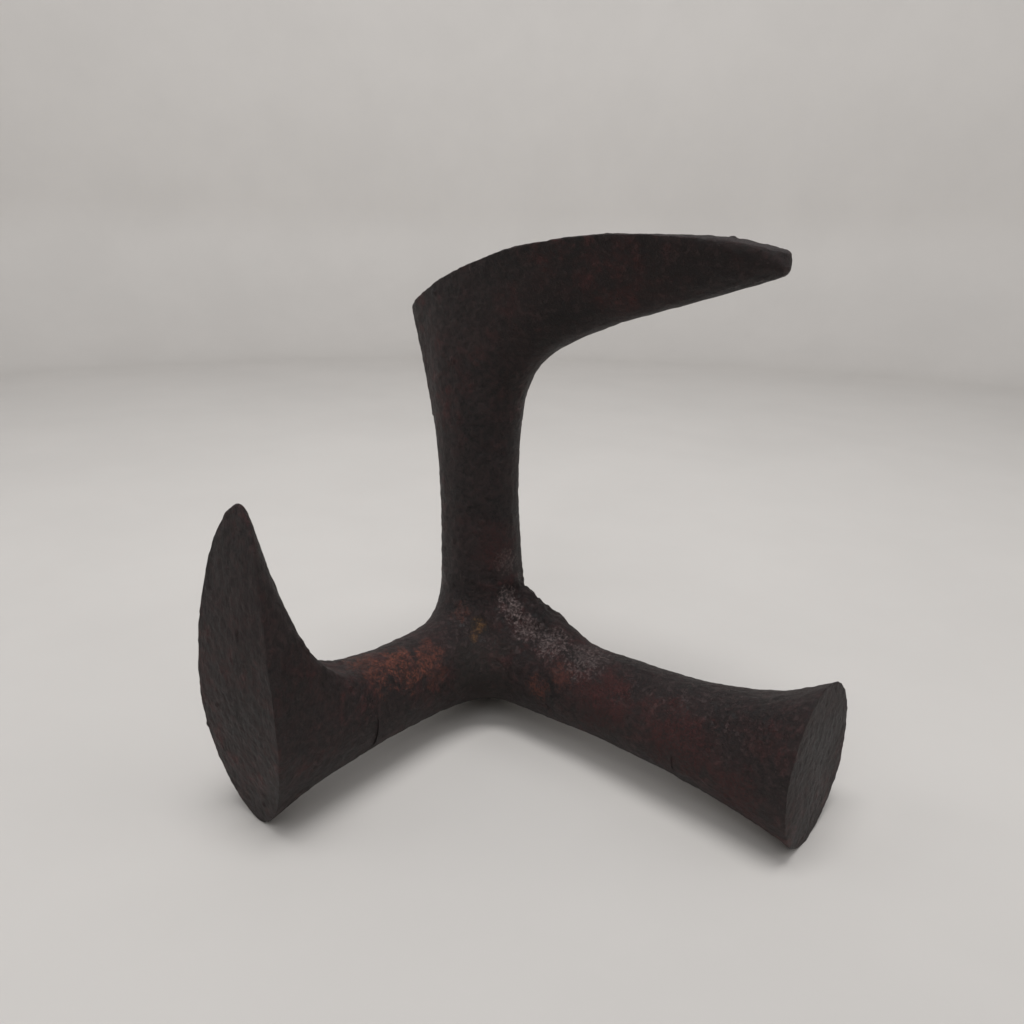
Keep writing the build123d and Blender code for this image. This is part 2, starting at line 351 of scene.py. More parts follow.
def flared_end_tree():
    """One working end: sole, rim, flare and leg as one closed skin, leg along +Z, toe to +X."""
    inputs = [(key, "NodeSocketFloat", 0.0) for key in (*TREE_SIZES, "root_taper")]
    tree, given, result = new_group(
        "Flared end", "GeometryNodeTree",
        inputs + [("Iron", "NodeSocketMaterial", None)], [("Geometry", "NodeSocketGeometry")],
    )
    size = {key: Term(tree, given.outputs[key]) for key in (*TREE_SIZES, "root_taper")}
    grid = tree.nodes.new("GeometryNodeMeshGrid")
    plug(tree, grid.inputs["Vertices X"], STATIONS)
    plug(tree, grid.inputs["Vertices Y"], ROWS)
    place = tree.nodes.new("GeometryNodeInputPosition")
    parts = tree.nodes.new("ShaderNodeSeparateXYZ")
    tree.links.new(place.outputs[0], parts.inputs[0])
    turn = (Term(tree, parts.outputs[0]) + 0.5) * (2 * math.pi)
    row = Term(tree, parts.outputs[1]) + 0.5

    along = turn.math("COSINE")
    across = turn.math("SINE")
    by_toe = along.math("GREATER_THAN", 0.0)
    widest = size["widest_at"]
    reach = by_toe.between(size["heel_reach"] + widest, size["toe_reach"] - widest)
    fullness = by_toe.between(size["heel_side_power"], size["toe_side_power"])
    far = along.math("ABSOLUTE") ** size["end_power"] * along.math("SIGN")
    aside = across.math("ABSOLUTE") ** fullness * across.math("SIGN")
    rim_x = widest + reach * far
    rim_y = size["side_offset"] + size["half_width"] * aside

    def sole_drop(x):
        return (x - size["rocker_apex"]) ** 2.0 * size["sole_curvature"] * 0.5

    flare_step = ((row - SOLE_SHARE) / (1 - SOLE_SHARE)).math("MAXIMUM", 0.0)
    height = (size["leg_length"] - sole_drop(rim_x)) * (1 - flare_step**RIM_CROWDING)
    lengthwise = along * along
    end_slope = by_toe.between(size["heel_slope"], size["toe_slope"])
    end_blend = by_toe.between(size["heel_blend"], size["toe_blend"])
    slope = end_slope * lengthwise + size["side_slope"] * (1 - lengthwise)
    blend = (end_blend**2.0) * lengthwise + (size["side_blend"] ** 2.0) * (1 - lengthwise)
    facet = size["toe_facet"] * by_toe * lengthwise**3.0
    depth = size["leg_length"] - height - sole_drop(rim_x) - facet
    taper = (1 - height / size["root_taper"]).math("MAXIMUM", 0.0)
    leg = size["waist_radius"] + (size["root_radius"] - size["waist_radius"]) * taper**2.0
    rim = (rim_x * rim_x + rim_y * rim_y).math("SQRT").math("MAXIMUM", leg + 1 * MM)
    # A hyperbola joins the side of the leg to the straight underside through the rim.
    start = rim - blend / (slope * (rim - leg))
    line = depth - slope * start
    root = ((line + slope * leg) ** 2.0 + slope * blend * 4.0).math("SQRT")
    flare = (slope * leg - line + root) / (slope * 2.0)
    share = ((flare - leg) / (rim - leg)).math("MINIMUM", 1.0)
    open_row = flare_step.math("LESS_THAN", 0.9999)  # the last row closes the leg on its axis
    flare_x = (leg * along + (rim_x - leg * along) * share) * open_row
    flare_y = (leg * across + (rim_y - leg * across) * share) * open_row

    sole_step = 1 - (1 - (row / SOLE_SHARE).math("MINIMUM", 1.0)) ** RIM_CROWDING
    sole_x = sole_step.between(widest, rim_x)
    sole_y = sole_step.between(size["side_offset"], rim_y)
    on_sole = row.math("LESS_THAN", SOLE_SHARE)
    joined = tree.nodes.new("ShaderNodeCombineXYZ")
    plug(tree, joined.inputs[0], on_sole.between(flare_x, sole_x))
    plug(tree, joined.inputs[1], on_sole.between(flare_y, sole_y))
    plug(tree, joined.inputs[2], on_sole.between(height, size["leg_length"] - sole_drop(sole_x)))
    moved = tree.nodes.new("GeometryNodeSetPosition")
    merged = tree.nodes.new("GeometryNodeMergeByDistance")
    merged.inputs["Distance"].default_value = 0.01 * MM
    tree.links.new(grid.outputs["Mesh"], moved.inputs["Geometry"])
    tree.links.new(joined.outputs[0], moved.inputs["Position"])
    tree.links.new(moved.outputs[0], merged.inputs["Geometry"])
    finish_tree(tree, given, result, merged.outputs[0])
    return tree


def finish_tree(tree, given, result, geometry):
    """Every tree ends in real geometry with its material."""
    realized = tree.nodes.new("GeometryNodeRealizeInstances")
    coated = tree.nodes.new("GeometryNodeSetMaterial")
    tree.links.new(geometry, realized.inputs[0])
    tree.links.new(realized.outputs[0], coated.inputs["Geometry"])
    tree.links.new(given.outputs["Iron"], coated.inputs["Material"])
    tree.links.new(coated.outputs[0], result.inputs[0])


def elbow_tree():
    """Round bar along the input path."""
    tree, given, result = new_group(
        "Elbow bar", "GeometryNodeTree",
        [
            ("Geometry", "NodeSocketGeometry", None),
            ("Radius", "NodeSocketFloat", 0.0),
            ("Iron", "NodeSocketMaterial", None),
        ],
        [("Geometry", "NodeSocketGeometry")],
    )
    path = tree.nodes.new("GeometryNodeMeshToCurve")
    ring = tree.nodes.new("GeometryNodeCurvePrimitiveCircle")
    bar = tree.nodes.new("GeometryNodeCurveToMesh")
    ring.inputs["Resolution"].default_value = BAR_SIDES
    bar.inputs["Fill Caps"].default_value = True
    tree.links.new(given.outputs["Geometry"], path.inputs["Mesh"])
    tree.links.new(given.outputs["Radius"], ring.inputs["Radius"])
    tree.links.new(path.outputs[0], bar.inputs["Curve"])
    tree.links.new(ring.outputs[0], bar.inputs["Profile Curve"])
    finish_tree(tree, given, result, bar.outputs[0])
    return tree


FACE_POLISH = 0.96        # share of the relief that the working faces have lost
PIT_DENSITY = 95.0        # cells per metre, of which some hold a pit


def relief_tree():
    """Unevenness, sand texture, pits and parting-line flash, pushed along the normals."""
    names = (
        "Swell", "Roughness", "Pit Depth", "Flash Height", "Flash Width", "Flash Reach",
        "Rib Roughness", "Rib Reach",
    )
    tree, given, result = new_group(
        "Cast relief", "GeometryNodeTree",
        [("Geometry", "NodeSocketGeometry", None)]
        + [(name, "NodeSocketFloat", 0.0) for name in names]
        + [("Rib Middle", "NodeSocketVector", None), ("Iron", "NodeSocketMaterial", None)],
        [("Geometry", "NodeSocketGeometry")],
    )
    size = {name: Term(tree, given.outputs[name]) for name in names}
    place = tree.nodes.new("GeometryNodeInputPosition").outputs[0]
    normal = tree.nodes.new("GeometryNodeInputNormal").outputs[0]
    mask = tree.nodes.new("GeometryNodeInputNamedAttribute")
    mask.data_type = "FLOAT"
    mask.inputs["Name"].default_value = FACE_MASK
    rough_part = 1 - Term(tree, mask.outputs["Attribute"]) * FACE_POLISH
    by_hub = (distance(tree, place, (0, 0, 0)) / size["Flash Reach"]).step(1.0, 0.8)

    swell = unevenness(tree, place, 30.0, 2.0, 1.3) * size["Swell"]
    sand = unevenness(tree, place, 260.0, 4.0, 4.1) * size["Roughness"]
    cells = tree.nodes.new("ShaderNodeTexVoronoi")
    cells.inputs["Scale"].default_value = PIT_DENSITY
    tree.links.new(place, cells.inputs["Vector"])
    tone = tree.nodes.new("FunctionNodeSeparateColor")
    tree.links.new(cells.outputs["Color"], tone.inputs[0])
    chosen = Term(tree, tone.outputs[0]).math("GREATER_THAN", 0.8)
    hollow = Term(tree, cells.outputs["Distance"]).step(0.22, 0.05)
    pits = chosen * hollow * size["Pit Depth"]

    apart = tree.nodes.new("ShaderNodeSeparateXYZ")
    tree.links.new(place, apart.inputs[0])
    across = Term(tree, apart.outputs[1])
    wander = unevenness(tree, place, 22.0, 2.0, 7.7) * (2.4 * MM)
    ridge = ((across + wander).math("ABSOLUTE") / size["Flash Width"]).step(1.0, 0.0)
    broken = unevenness(tree, place, 120.0, 3.0, 9.2).step(-0.12, 0.2)
    flash = ridge * broken * by_hub * size["Flash Height"]
    from_rib = distance(tree, place, given.outputs["Rib Middle"])
    by_rib = (from_rib / size["Rib Reach"]).step(1.0, 0.4)
    rag = unevenness(tree, place, 110.0, 4.0, 12.6) * by_rib * size["Rib Roughness"]
    push = (swell + sand - pits) * rough_part + flash + rag

    shift = tree.nodes.new("ShaderNodeVectorMath")
    shift.operation = "SCALE"
    tree.links.new(normal, shift.inputs[0])
    plug(tree, shift.inputs["Scale"], push)
    moved = tree.nodes.new("GeometryNodeSetPosition")
    tree.links.new(given.outputs["Geometry"], moved.inputs["Geometry"])
    tree.links.new(shift.outputs[0], moved.inputs["Offset"])
    finish_tree(tree, given, result, moved.outputs[0])
    return tree


def grown(name, tree, values, mesh=None):
    """Runs a geometry tree on a mesh and returns the result as a plain mesh."""
    start = mesh or bpy.data.meshes.new(name + "_start")
    item = bpy.data.objects.new(name + "_maker", start)
    bpy.context.scene.collection.objects.link(item)
    modifier = item.modifiers.new("Maker", "NODES")
    modifier.node_group = tree
    for socket in tree.interface.items_tree:
        if socket.item_type == "SOCKET" and socket.in_out == "INPUT" and socket.name in values:
            modifier[socket.identifier] = values[socket.name]
    made = evaluated_mesh(item)
    bpy.data.objects.remove(item)
    return made


def evaluated_mesh(item):
    graph = bpy.context.evaluated_depsgraph_get()
    graph.update()
    return bpy.data.meshes.new_from_object(item.evaluated_get(graph), depsgraph=graph)


# ---- where the three ends are ---------------------------------------------------------------
# Top of each sole to the plane that parts the foot from its leg.
NECK_DEPTHS = {"adult": 84 * MM, "child": 56 * MM, "heel": 52 * MM}


class End:
    """Direction and frame of one working end."""

    def __init__(self, name, values, way, towards_toe):
        self.name = name
        self.values = values
        self.way = way
        across = way.cross(towards_toe).normalized()
        toe = across.cross(way)
        turned = Matrix.Rotation(values.toe_turn, 3, way)
        self.toe = turned @ toe
        self.across = turned @ across
        self.neck = values.leg_length - NECK_DEPTHS[name]

    def matrix(self):
        rows = Matrix((self.toe, self.across, self.way)).transposed().to_4x4()
        return Matrix.Translation(crossing()) @ rows


def crossing():
    return Vector((0, 0, settings().casting.crossing_height))


def rise_to_bench(leg_length, drop):
    """Tilt of a lying leg whose end hangs below the axis by drop and rests on the bench."""
    casting = settings().casting
    return math.asin((drop - casting.bench_wear - casting.crossing_height) / leg_length)


def heading(azimuth, rise):
    flat = math.cos(rise)
    return Vector((math.cos(azimuth) * flat, math.sin(azimuth) * flat, math.sin(rise)))


def the_ends():
    props = settings()
    adult, child, heel, casting = props.adult, props.child, props.heel, props.casting
    heel_way = heading(0, rise_to_bench(heel.leg_length, heel.half_width + heel.side_offset))
    child_way = heading(-casting.plan_angle, rise_to_bench(child.leg_length, child.heel_reach))
    lean = Vector((-math.sin(casting.lean_back), -math.sin(casting.lean_front), 1))
    adult_way = lean.normalized()
    return (
        End("adult", adult, adult_way, heel_way),
        End("child", child, child_way, adult_way),
        End("heel", heel, heel_way, child_way),
    )


# ---- the raw casting ------------------------------------------------------------------------
RIM_STEPS = 40            # smoothing of a foot, which rounds its rim
JOINT_STEPS = 12          # smoothing of hub and legs, which melts their joints
NECK_BLEND = 16 * MM      # stretch over which a foot's skin is drawn onto its leg's skin
NECK_HOLD = 0.2           # part of that stretch that lies wholly on the leg's skin
PATH_STEPS = 24


def elbow_path(way_a, way_b, fillet):
    """Arc in the crotch between two legs, tangent to both."""
    bend = fillet + settings().casting.elbow_radius
    opening = way_a.angle(way_b)
    normal = way_a.cross(way_b).normalized()
    start = crossing() + way_a * (bend / math.tan(opening / 2))
    centre = start + normal.cross(way_a) * bend
    points = []
    for step in range(PATH_STEPS + 1):
        turn = Matrix.Rotation(-(math.pi - opening) * step / PATH_STEPS, 3, normal)
        points.append(centre + turn @ (start - centre))
    return path_mesh(points)


def path_mesh(points):
    mesh = bpy.data.meshes.new("path")
    mesh.from_pydata(points, [(step, step + 1) for step in range(len(points) - 1)], [])
    return mesh


def hub_ball():
    """Ball that rounds the outer corner of the hub, cut flat where it meets the bench."""
    casting = settings().casting
    height = casting.crossing_height - casting.hub_drop
    centre = Vector((-casting.hub_set_back, casting.hub_set_back, height))
    mesh = bpy.data.meshes.new("hub_ball")
    shape = bmesh.new()
    bmesh.ops.create_icosphere(shape, subdivisions=5, radius=height + casting.hub_flat)
    bmesh.ops.translate(shape, verts=shape.verts, vec=centre)
    shape.to_mesh(mesh)
    shape.free()
    return mesh


def joined_mesh(name, meshes):
    shape = bmesh.new()
    for mesh in meshes:
        shape.from_mesh(mesh)
        bpy.data.meshes.remove(mesh)
    mesh = bpy.data.meshes.new(name)
    shape.to_mesh(mesh)
    shape.free()
    return mesh


def melted(mesh, steps, voxel=None):
    """Smooths a mesh.  A voxel size first melts overlapping shapes into one cast surface."""
    item = bpy.data.objects.new("melted", mesh)
    bpy.context.scene.collection.objects.link(item)
    if voxel is not None:
        remesh = item.modifiers.new("One skin", "REMESH")
        remesh.mode = "VOXEL"
        remesh.voxel_size = voxel
        remesh.use_smooth_shade = True
    smooth = item.modifiers.new("Melted edges", "SMOOTH")
    smooth.factor = 0.5
    smooth.iterations = steps
    made = evaluated_mesh(item)
    bpy.data.objects.remove(item)
    return made


def raw_ends(iron):
    """The three ends as clean meshes in their places, by name."""
    casting = settings().casting
    tree = flared_end_tree()
    meshes = {}
    for end in the_ends():
        values = {key: getattr(end.values, key) for key in TREE_SIZES}
        values.update({"root_taper": casting.root_taper, "Iron": iron})
        mesh = grown(end.name, tree, values)
        mesh.transform(end.matrix())
        meshes[end.name] = mesh
    return meshes


def raw_casting(iron, meshes):
    """Hub and legs as one surface, out of the ends, the elbows and the hub ball."""
    casting = settings().casting
    ends = the_ends()
    bar = elbow_tree()
    adult, child, heel = (end.way for end in ends)
    for way_a, way_b, fillet in (
        (adult, child, casting.adult_child_fillet),
        (adult, heel, casting.adult_heel_fillet),
        (child, heel, casting.child_heel_fillet),
    ):
        path = elbow_path(way_a, way_b, fillet)
        meshes.append(grown("elbow", bar, {"Radius": casting.elbow_radius, "Iron": iron}, path))
    rib = path_mesh([crossing() + casting.rib_start, crossing() + casting.rib_end])
    meshes.append(grown("rib", bar, {"Radius": casting.rib_radius, "Iron": iron}, rib))
    meshes.append(hub_ball())
    return melted(joined_mesh("raw_casting", meshes), JOINT_STEPS, casting.grain_size)


def draw_necks_together(meshes, whole):
    """Near the plane that parts a foot from its leg, the foot's skin follows the leg's skin."""
    corners = [vertex.co for vertex in whole.vertices]
    leg_skin = BVHTree.FromPolygons(corners, [tuple(face.vertices) for face in whole.polygons])
    for end in the_ends():
        for vertex in meshes[end.name].vertices:
            past_neck = (vertex.co - crossing()).dot(end.way) - end.neck
            if -NECK_BLEND / 2 < past_neck < NECK_BLEND:
                own = min(max(past_neck / NECK_BLEND - NECK_HOLD, 0.0) / (1 - NECK_HOLD), 1.0)
                own = own * own * (3 - 2 * own)
                vertex.co = leg_skin.find_nearest(vertex.co)[0].lerp(vertex.co, own)
        meshes[end.name].update()


def coordinates(mesh):
    places = np.empty(len(mesh.vertices) * 3)
    mesh.vertices.foreach_get("co", places)
    return places.reshape(-1, 3)


def vertex_normals(mesh):
    normals = np.empty(len(mesh.vertices) * 3)
    mesh.vertex_normals.foreach_get("vector", normals)
    return normals.reshape(-1, 3)


# A working face reaches FACE_BAND under the sole and fades over FACE_FADE.  It takes in what
# looks along the sole's own normal, from a cosine of FACE_COSINE up.
FACE_BAND = 3.5 * MM
FACE_FADE = 2 * MM
FACE_COSINE = 0.8
EDGE_BEND = 110           # bend per metre at which an edge starts to wear
EDGE_RANGE = 140          # further bend up to full wear


def mark_faces_and_edges(mesh):
    """Stores where the skin is a working face, and where it is a sharp worn edge."""
    places = coordinates(mesh)
    normals = vertex_normals(mesh)
    face = np.zeros(len(places))
    for end in the_ends():
        way, toe = np.array(end.way), np.array(end.toe)
        out = places - np.array(crossing())
        height = out @ way
        from_apex = out @ toe - end.values.rocker_apex
        drop = from_apex**2 * end.values.sole_curvature / 2
        below = end.values.leg_length - drop - height
        slant = way + (from_apex * end.values.sole_curvature)[:, None] * toe
        slant /= np.linalg.norm(slant, axis=1)[:, None]
        facing = np.einsum("ij,ij->i", normals, slant)
        near = np.clip((FACE_BAND - np.abs(below)) / FACE_FADE, 0, 1)
        own = np.linalg.norm(out - height[:, None] * way, axis=1) < end.values.toe_reach * 1.3
        face = np.maximum(face, near * own * np.clip((facing - FACE_COSINE) / 0.15, 0, 1))
    pairs = np.empty(len(mesh.edges) * 2, np.int64)
    mesh.edges.foreach_get("vertices", pairs)
    first, second = pairs.reshape(-1, 2).T
    gap = places[second] - places[first]
    spread = np.einsum("ij,ij->i", normals[second] - normals[first], gap)
    bend = spread / np.maximum(np.einsum("ij,ij->i", gap, gap), 1e-12)
    total = np.zeros(len(places))
    count = np.zeros(len(places))
    for ends_of_edge in (first, second):
        np.add.at(total, ends_of_edge, bend)
        np.add.at(count, ends_of_edge, 1)
    edge = np.clip((total / np.maximum(count, 1) - EDGE_BEND) / EDGE_RANGE, 0, 1)
    for name, values in ((FACE_MASK, face), (EDGE_MASK, edge)):
        layer = mesh.attributes.new(name, "FLOAT", "POINT")
        layer.data.foreach_set("value", values.astype(np.float32))
    return mesh


def rested_on_bench(mesh):
    """The bench has worn the lowest spots flat."""
    places = coordinates(mesh)
    places[:, 2] = np.maximum(places[:, 2], 0)
    mesh.vertices.foreach_set("co", places.ravel())
    mesh.update()
    return mesh


# ---- regions of the casting -----------------------------------------------------------------
# Each region is a skin and the cuts it needs: end, plane, and whether the far side stays.
WHOLE = "whole"
SKIN = "_rough_skin"
REGIONS = {
    "hub": (WHOLE, (("adult", "hub", False), ("child", "hub", False), ("heel", "hub", False))),
    "adult_leg": (
        WHOLE,
        (
            ("adult", "hub", True), ("adult", "neck", False),
            ("child", "hub", False), ("heel", "hub", False),
        ),
    ),
    "adult_foot": ("adult", (("adult", "neck", True),)),
    "child_leg": (WHOLE, (("child", "hub", True), ("child", "neck", False))),
    "child_foot": ("child", (("child", "neck", True),)),
    "heel_leg": (WHOLE, (("heel", "hub", True), ("heel", "neck", False), ("adult", "neck", False))),
    "heel_pad": ("heel", (("heel", "neck", True),)),
}
WHOLE_NORMAL = "whole_normal"


def keep_normals(mesh):
    """Stores the normals of the uncut skin, so that the regions' borders don't show."""
    layer = mesh.attributes.new(WHOLE_NORMAL, "FLOAT_VECTOR", "POINT")
    layer.data.foreach_set("vector", vertex_normals(mesh).astype(np.float32).ravel())
    return mesh


def hub_reach():
    """Crossing to the planes that part the legs from the hub, just past the longest elbow."""
    casting = settings().casting
    fillet = max(casting.adult_heel_fillet, casting.adult_child_fillet, casting.child_heel_fillet)
    return fillet + casting.elbow_radius + casting.hub_margin


def cut_region(name):
    """Closed piece of the skin.  Its borders lie on the planes that part the CAD nodes."""
    ends = {end.name: end for end in the_ends()}
    skin, cuts = REGIONS[name]
    shape = bmesh.new()
    shape.from_mesh(bpy.data.meshes[skin + SKIN])
    for end_name, plane, far_side_stays in cuts:
        end = ends[end_name]
        reach = hub_reach() if plane == "hub" else end.neck
        bmesh.ops.bisect_plane(
            shape, geom=shape.verts[:] + shape.edges[:] + shape.faces[:],
            plane_co=crossing() + end.way * reach, plane_no=end.way, dist=1e-7,
            clear_inner=far_side_stays, clear_outer=not far_side_stays,
        )
    rims = [edge for edge in shape.edges if edge.is_boundary]
    caps = bmesh.ops.holes_fill(shape, edges=rims, sides=0)["faces"]
    bmesh.ops.triangulate(shape, faces=caps)
    mesh = bpy.data.meshes.new(name)
    shape.to_mesh(mesh)
    shape.free()
    return mesh


def finished_piece(name, mesh, materials):
    """Object for one region: smooth, with the whole casting's normals, riding on the body."""
    for material in materials:
        mesh.materials.append(material)
    face = np.empty(len(mesh.vertices), np.float32)
    mesh.attributes[FACE_MASK].data.foreach_get("value", face)
    for polygon in mesh.polygons:
        polygon.use_smooth = True
        polygon.material_index = int(np.mean(face[list(polygon.vertices)]) > 0.5)
    normals = np.empty(len(mesh.vertices) * 3, np.float32)
    mesh.attributes[WHOLE_NORMAL].data.foreach_get("vector", normals)
    normals = normals.reshape(-1, 3)
    normals /= np.linalg.norm(normals, axis=1)[:, None]
    mesh.attributes.remove(mesh.attributes[WHOLE_NORMAL])
    mesh.normals_split_custom_set_from_vertices(normals.tolist())
    piece = bpy.data.objects.new(name + "_skin", mesh)
    bpy.context.scene.collection.objects.link(piece)
    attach(piece, BODY)
    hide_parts(name)
    return piece


# ---- shader groups --------------------------------------------------------------------------
def stretched(tree, place, turn, squeeze):
    """Coordinates turned and squeezed, so that a pattern becomes streaks."""
    node = tree.nodes.new("ShaderNodeMapping")
    plug(tree, node.inputs["Vector"], place)
    node.inputs["Rotation"].default_value = turn
    node.inputs["Scale"].default_value = squeeze
    return node.outputs[0]


def object_place(tree):
    return tree.nodes.new("ShaderNodeTexCoord").outputs["Object"]


def patch_group():
    """Ragged patch round a place: 1 inside, 0 outside, broken up by noise."""
    tree, given, result = new_group(
        "Ragged patch", "ShaderNodeTree",
        [
            ("Centre", "NodeSocketVector", (0, 0, 0)),
            ("Radius", "NodeSocketFloat", 0.03),
            ("Raggedness", "NodeSocketFloat", 0.6),
            ("Grain", "NodeSocketFloat", 160.0),
        ],
        [("Mask", "NodeSocketFloat")],
    )
    place = object_place(tree)
    gap = distance(tree, place, given.outputs["Centre"])
    near = 1 - gap / Term(tree, given.outputs["Radius"])
    broad = tree.nodes.new("ShaderNodeTexNoise")
    broad.inputs["Detail"].default_value = 6.0
    broad.inputs["Roughness"].default_value = 0.7
    tree.links.new(place, broad.inputs["Vector"])
    tree.links.new(given.outputs["Grain"], broad.inputs["Scale"])
    ragged = (Term(tree, broad.outputs["Fac"]) - 0.5) * Term(tree, given.outputs["Raggedness"]) * 4.0
    fine = noise(tree, place, 900.0, 6.0, 0.75, 31.0).step(0.4, 0.6)
    patch = (near + ragged).step(0.15, 0.75) * near.step(0.0, 0.25) * fine
    plug(tree, result.inputs["Mask"], patch)
    return tree


def scratch_group():
    """Fine lines in two directions, in uneven bundles."""
    tree, given, result = new_group(
        "Scratches", "ShaderNodeTree",
        [("Amount", "NodeSocketFloat", 0.5)],
        [("Mask", "NodeSocketFloat")],
    )
    place = object_place(tree)
    upright = stretched(tree, place, (0.1, 0.15, 0.3), (1400, 1400, 40))
    slanting = stretched(tree, place, (0.9, 0.4, 0.2), (1100, 60, 1100))
    along = noise(tree, upright, 1.0, 3.0, 0.6)
    across = noise(tree, slanting, 1.0, 3.0, 0.6, 5.0)
    bundles = noise(tree, place, 55.0, 3.0, 0.6, 2.0).step(0.45, 0.7)
    lines = along.step(0.62, 0.76).math("MAXIMUM", across.step(0.66, 0.78))
    plug(tree, result.inputs["Mask"], lines * bundles * Term(tree, given.outputs["Amount"]))
    return tree


def grain_group():
    """Sand-cast grain: a height for the bump and flecks for the colour."""
    tree, given, result = new_group(
        "Iron grain", "ShaderNodeTree",
        [("Coarseness", "NodeSocketFloat", 1.0)],
        [("Height", "NodeSocketFloat"), ("Flecks", "NodeSocketFloat"), ("Tone", "NodeSocketFloat")],
    )
    place = object_place(tree)
    coarse = Term(tree, given.outputs["Coarseness"])
    coarse_grain = noise(tree, place, 420.0, 5.0, 0.65, 1.0)
    fine_grain = noise(tree, place, 1900.0, 3.0, 0.6, 3.0)
    cells = tree.nodes.new("ShaderNodeTexVoronoi")
    cells.inputs["Scale"].default_value = 520.0
    plug(tree, cells.inputs["Vector"], place)
    pits = Term(tree, cells.outputs["Distance"]).step(0.32, 0.1)
    sparse = noise(tree, place, 140.0, 2.0, 0.5, 8.0).step(0.5, 0.65)
    height = coarse_grain * coarse * 0.6 + fine_grain * 0.25 - pits * sparse * coarse * 0.5
    plug(tree, result.inputs["Height"], height)
    plug(tree, result.inputs["Flecks"], fine_grain.step(0.6, 0.78) * coarse_grain.step(0.48, 0.62))
    plug(tree, result.inputs["Tone"], noise(tree, place, 34.0, 6.0, 0.62, 6.0).step(0.32, 0.68))
    return tree


def edge_group():
    """Rubbed edges: the stored edge mask, broken by noise."""
    tree, given, result = new_group(
        "Rubbed edge", "ShaderNodeTree",
        [("Amount", "NodeSocketFloat", 1.0)],
        [("Mask", "NodeSocketFloat")],
    )
    stored = tree.nodes.new("ShaderNodeAttribute")
    stored.attribute_name = EDGE_MASK
    place = object_place(tree)
    broken = noise(tree, place, 70.0, 5.0, 0.65, 4.0).step(0.42, 0.66)
    fine = noise(tree, place, 600.0, 3.0, 0.6, 9.0).step(0.3, 0.6)
    rubbed = Term(tree, stored.outputs["Fac"]).step(0.25, 0.9) * broken * fine
    plug(tree, result.inputs["Mask"], rubbed * Term(tree, given.outputs["Amount"]))
    return tree


def group_node(tree, group, **values):
    node = tree.nodes.new("ShaderNodeGroup")
    node.node_tree = group
    for name, value in values.items():
        node.inputs[name].default_value = value
    return node


def group_mask(tree, group, **values):
    return Term(tree, group_node(tree, group, **values).outputs["Mask"])


def tinted(tree, base, tint, mask):
    """Colour that goes from base to tint where the mask is 1."""
    node = tree.nodes.new("ShaderNodeMix")
    node.data_type = "RGBA"
    plug(tree, node.inputs["Factor"], mask)
    for name, value in (("A", base), ("B", tint)):
        socket = next(s for s in node.inputs if s.name == name and s.type == "RGBA")
        plug(tree, socket, value if isinstance(value, bpy.types.NodeSocket) else (*value, 1.0))
    return next(s for s in node.outputs if s.type == "RGBA")


def new_material(name):
    material = bpy.data.materials.new(name)
    material.use_nodes = True
    tree = material.node_tree
    return material, tree, tree.nodes["Principled BSDF"]


def bumped(tree, shader, height, distance, strength):
    bump = tree.nodes.new("ShaderNodeBump")
    bump.inputs["Distance"].default_value = distance
    bump.inputs["Strength"].default_value = strength
    plug(tree, bump.inputs["Height"], height)
    tree.links.new(bump.outputs[0], shader.inputs["Normal"])


# Rust, oxide and a painted highlight on the skin: colour, centre, radius in millimetres, raggedness,
# grain, strength.
PATCHES = (
    ("olive", (20, -24, 34), 34, 0.5, 60, 0.45),
    ("red_oxide", (9, -86, 50), 17, 0.9, 210, 0.7),
    ("red_oxide", (13, -70, 49), 16, 0.9, 210, 0.75),
    ("red_oxide", (13, -53, 49), 12, 0.9, 210, 0.55),
    ("red_oxide", (20, -55, 42), 13, 0.9, 210, 0.35),
    ("red_oxide", (56, -21, 34), 9, 0.9, 240, 0.45),
    ("red_oxide", (67, -17, 44), 10, 0.9, 240, 0.3),
    ("red_oxide", (6, -24, 60), 8, 0.9, 260, 0.3),
    ("ochre", (18, -21, 56), 6, 0.6, 260, 0.75),
    ("ochre", (18, -26, 51), 4, 0.6, 260, 0.6),
    ("ochre", (38, 3, 57), 5, 0.6, 260, 0.6),
    ("ochre", (14, -5, 180), 6, 0.7, 300, 0.3),
    ("maroon", (91, -18, 41), 22, 0.6, 110, 0.8),
    ("maroon", (133, -19, 38), 24, 0.6, 110, 0.9),
    ("maroon", (160, -20, 26), 20, 0.6, 110, 0.8),
    ("maroon", (20, -10, 95), 20, 0.6, 110, 0.6),
    # Pale patches along the shoulder's upper front, fading down the heel leg: a painted highlight.
    ("scuffed", (19, -4, 67), 8, 1.1, 520, 0.55),
    ("scuffed", (25, -5, 60), 9, 1.1, 520, 0.6),
    ("scuffed", (36, -6, 54), 10, 1.1, 520, 0.5),
    ("scuffed", (53, -6, 51), 12, 1.1, 540, 0.4),
    ("scuffed", (74, -5, 49), 14, 1.1, 540, 0.3),
    ("scuffed", (19, -4, 86), 9, 1.1, 540, 0.25),
)


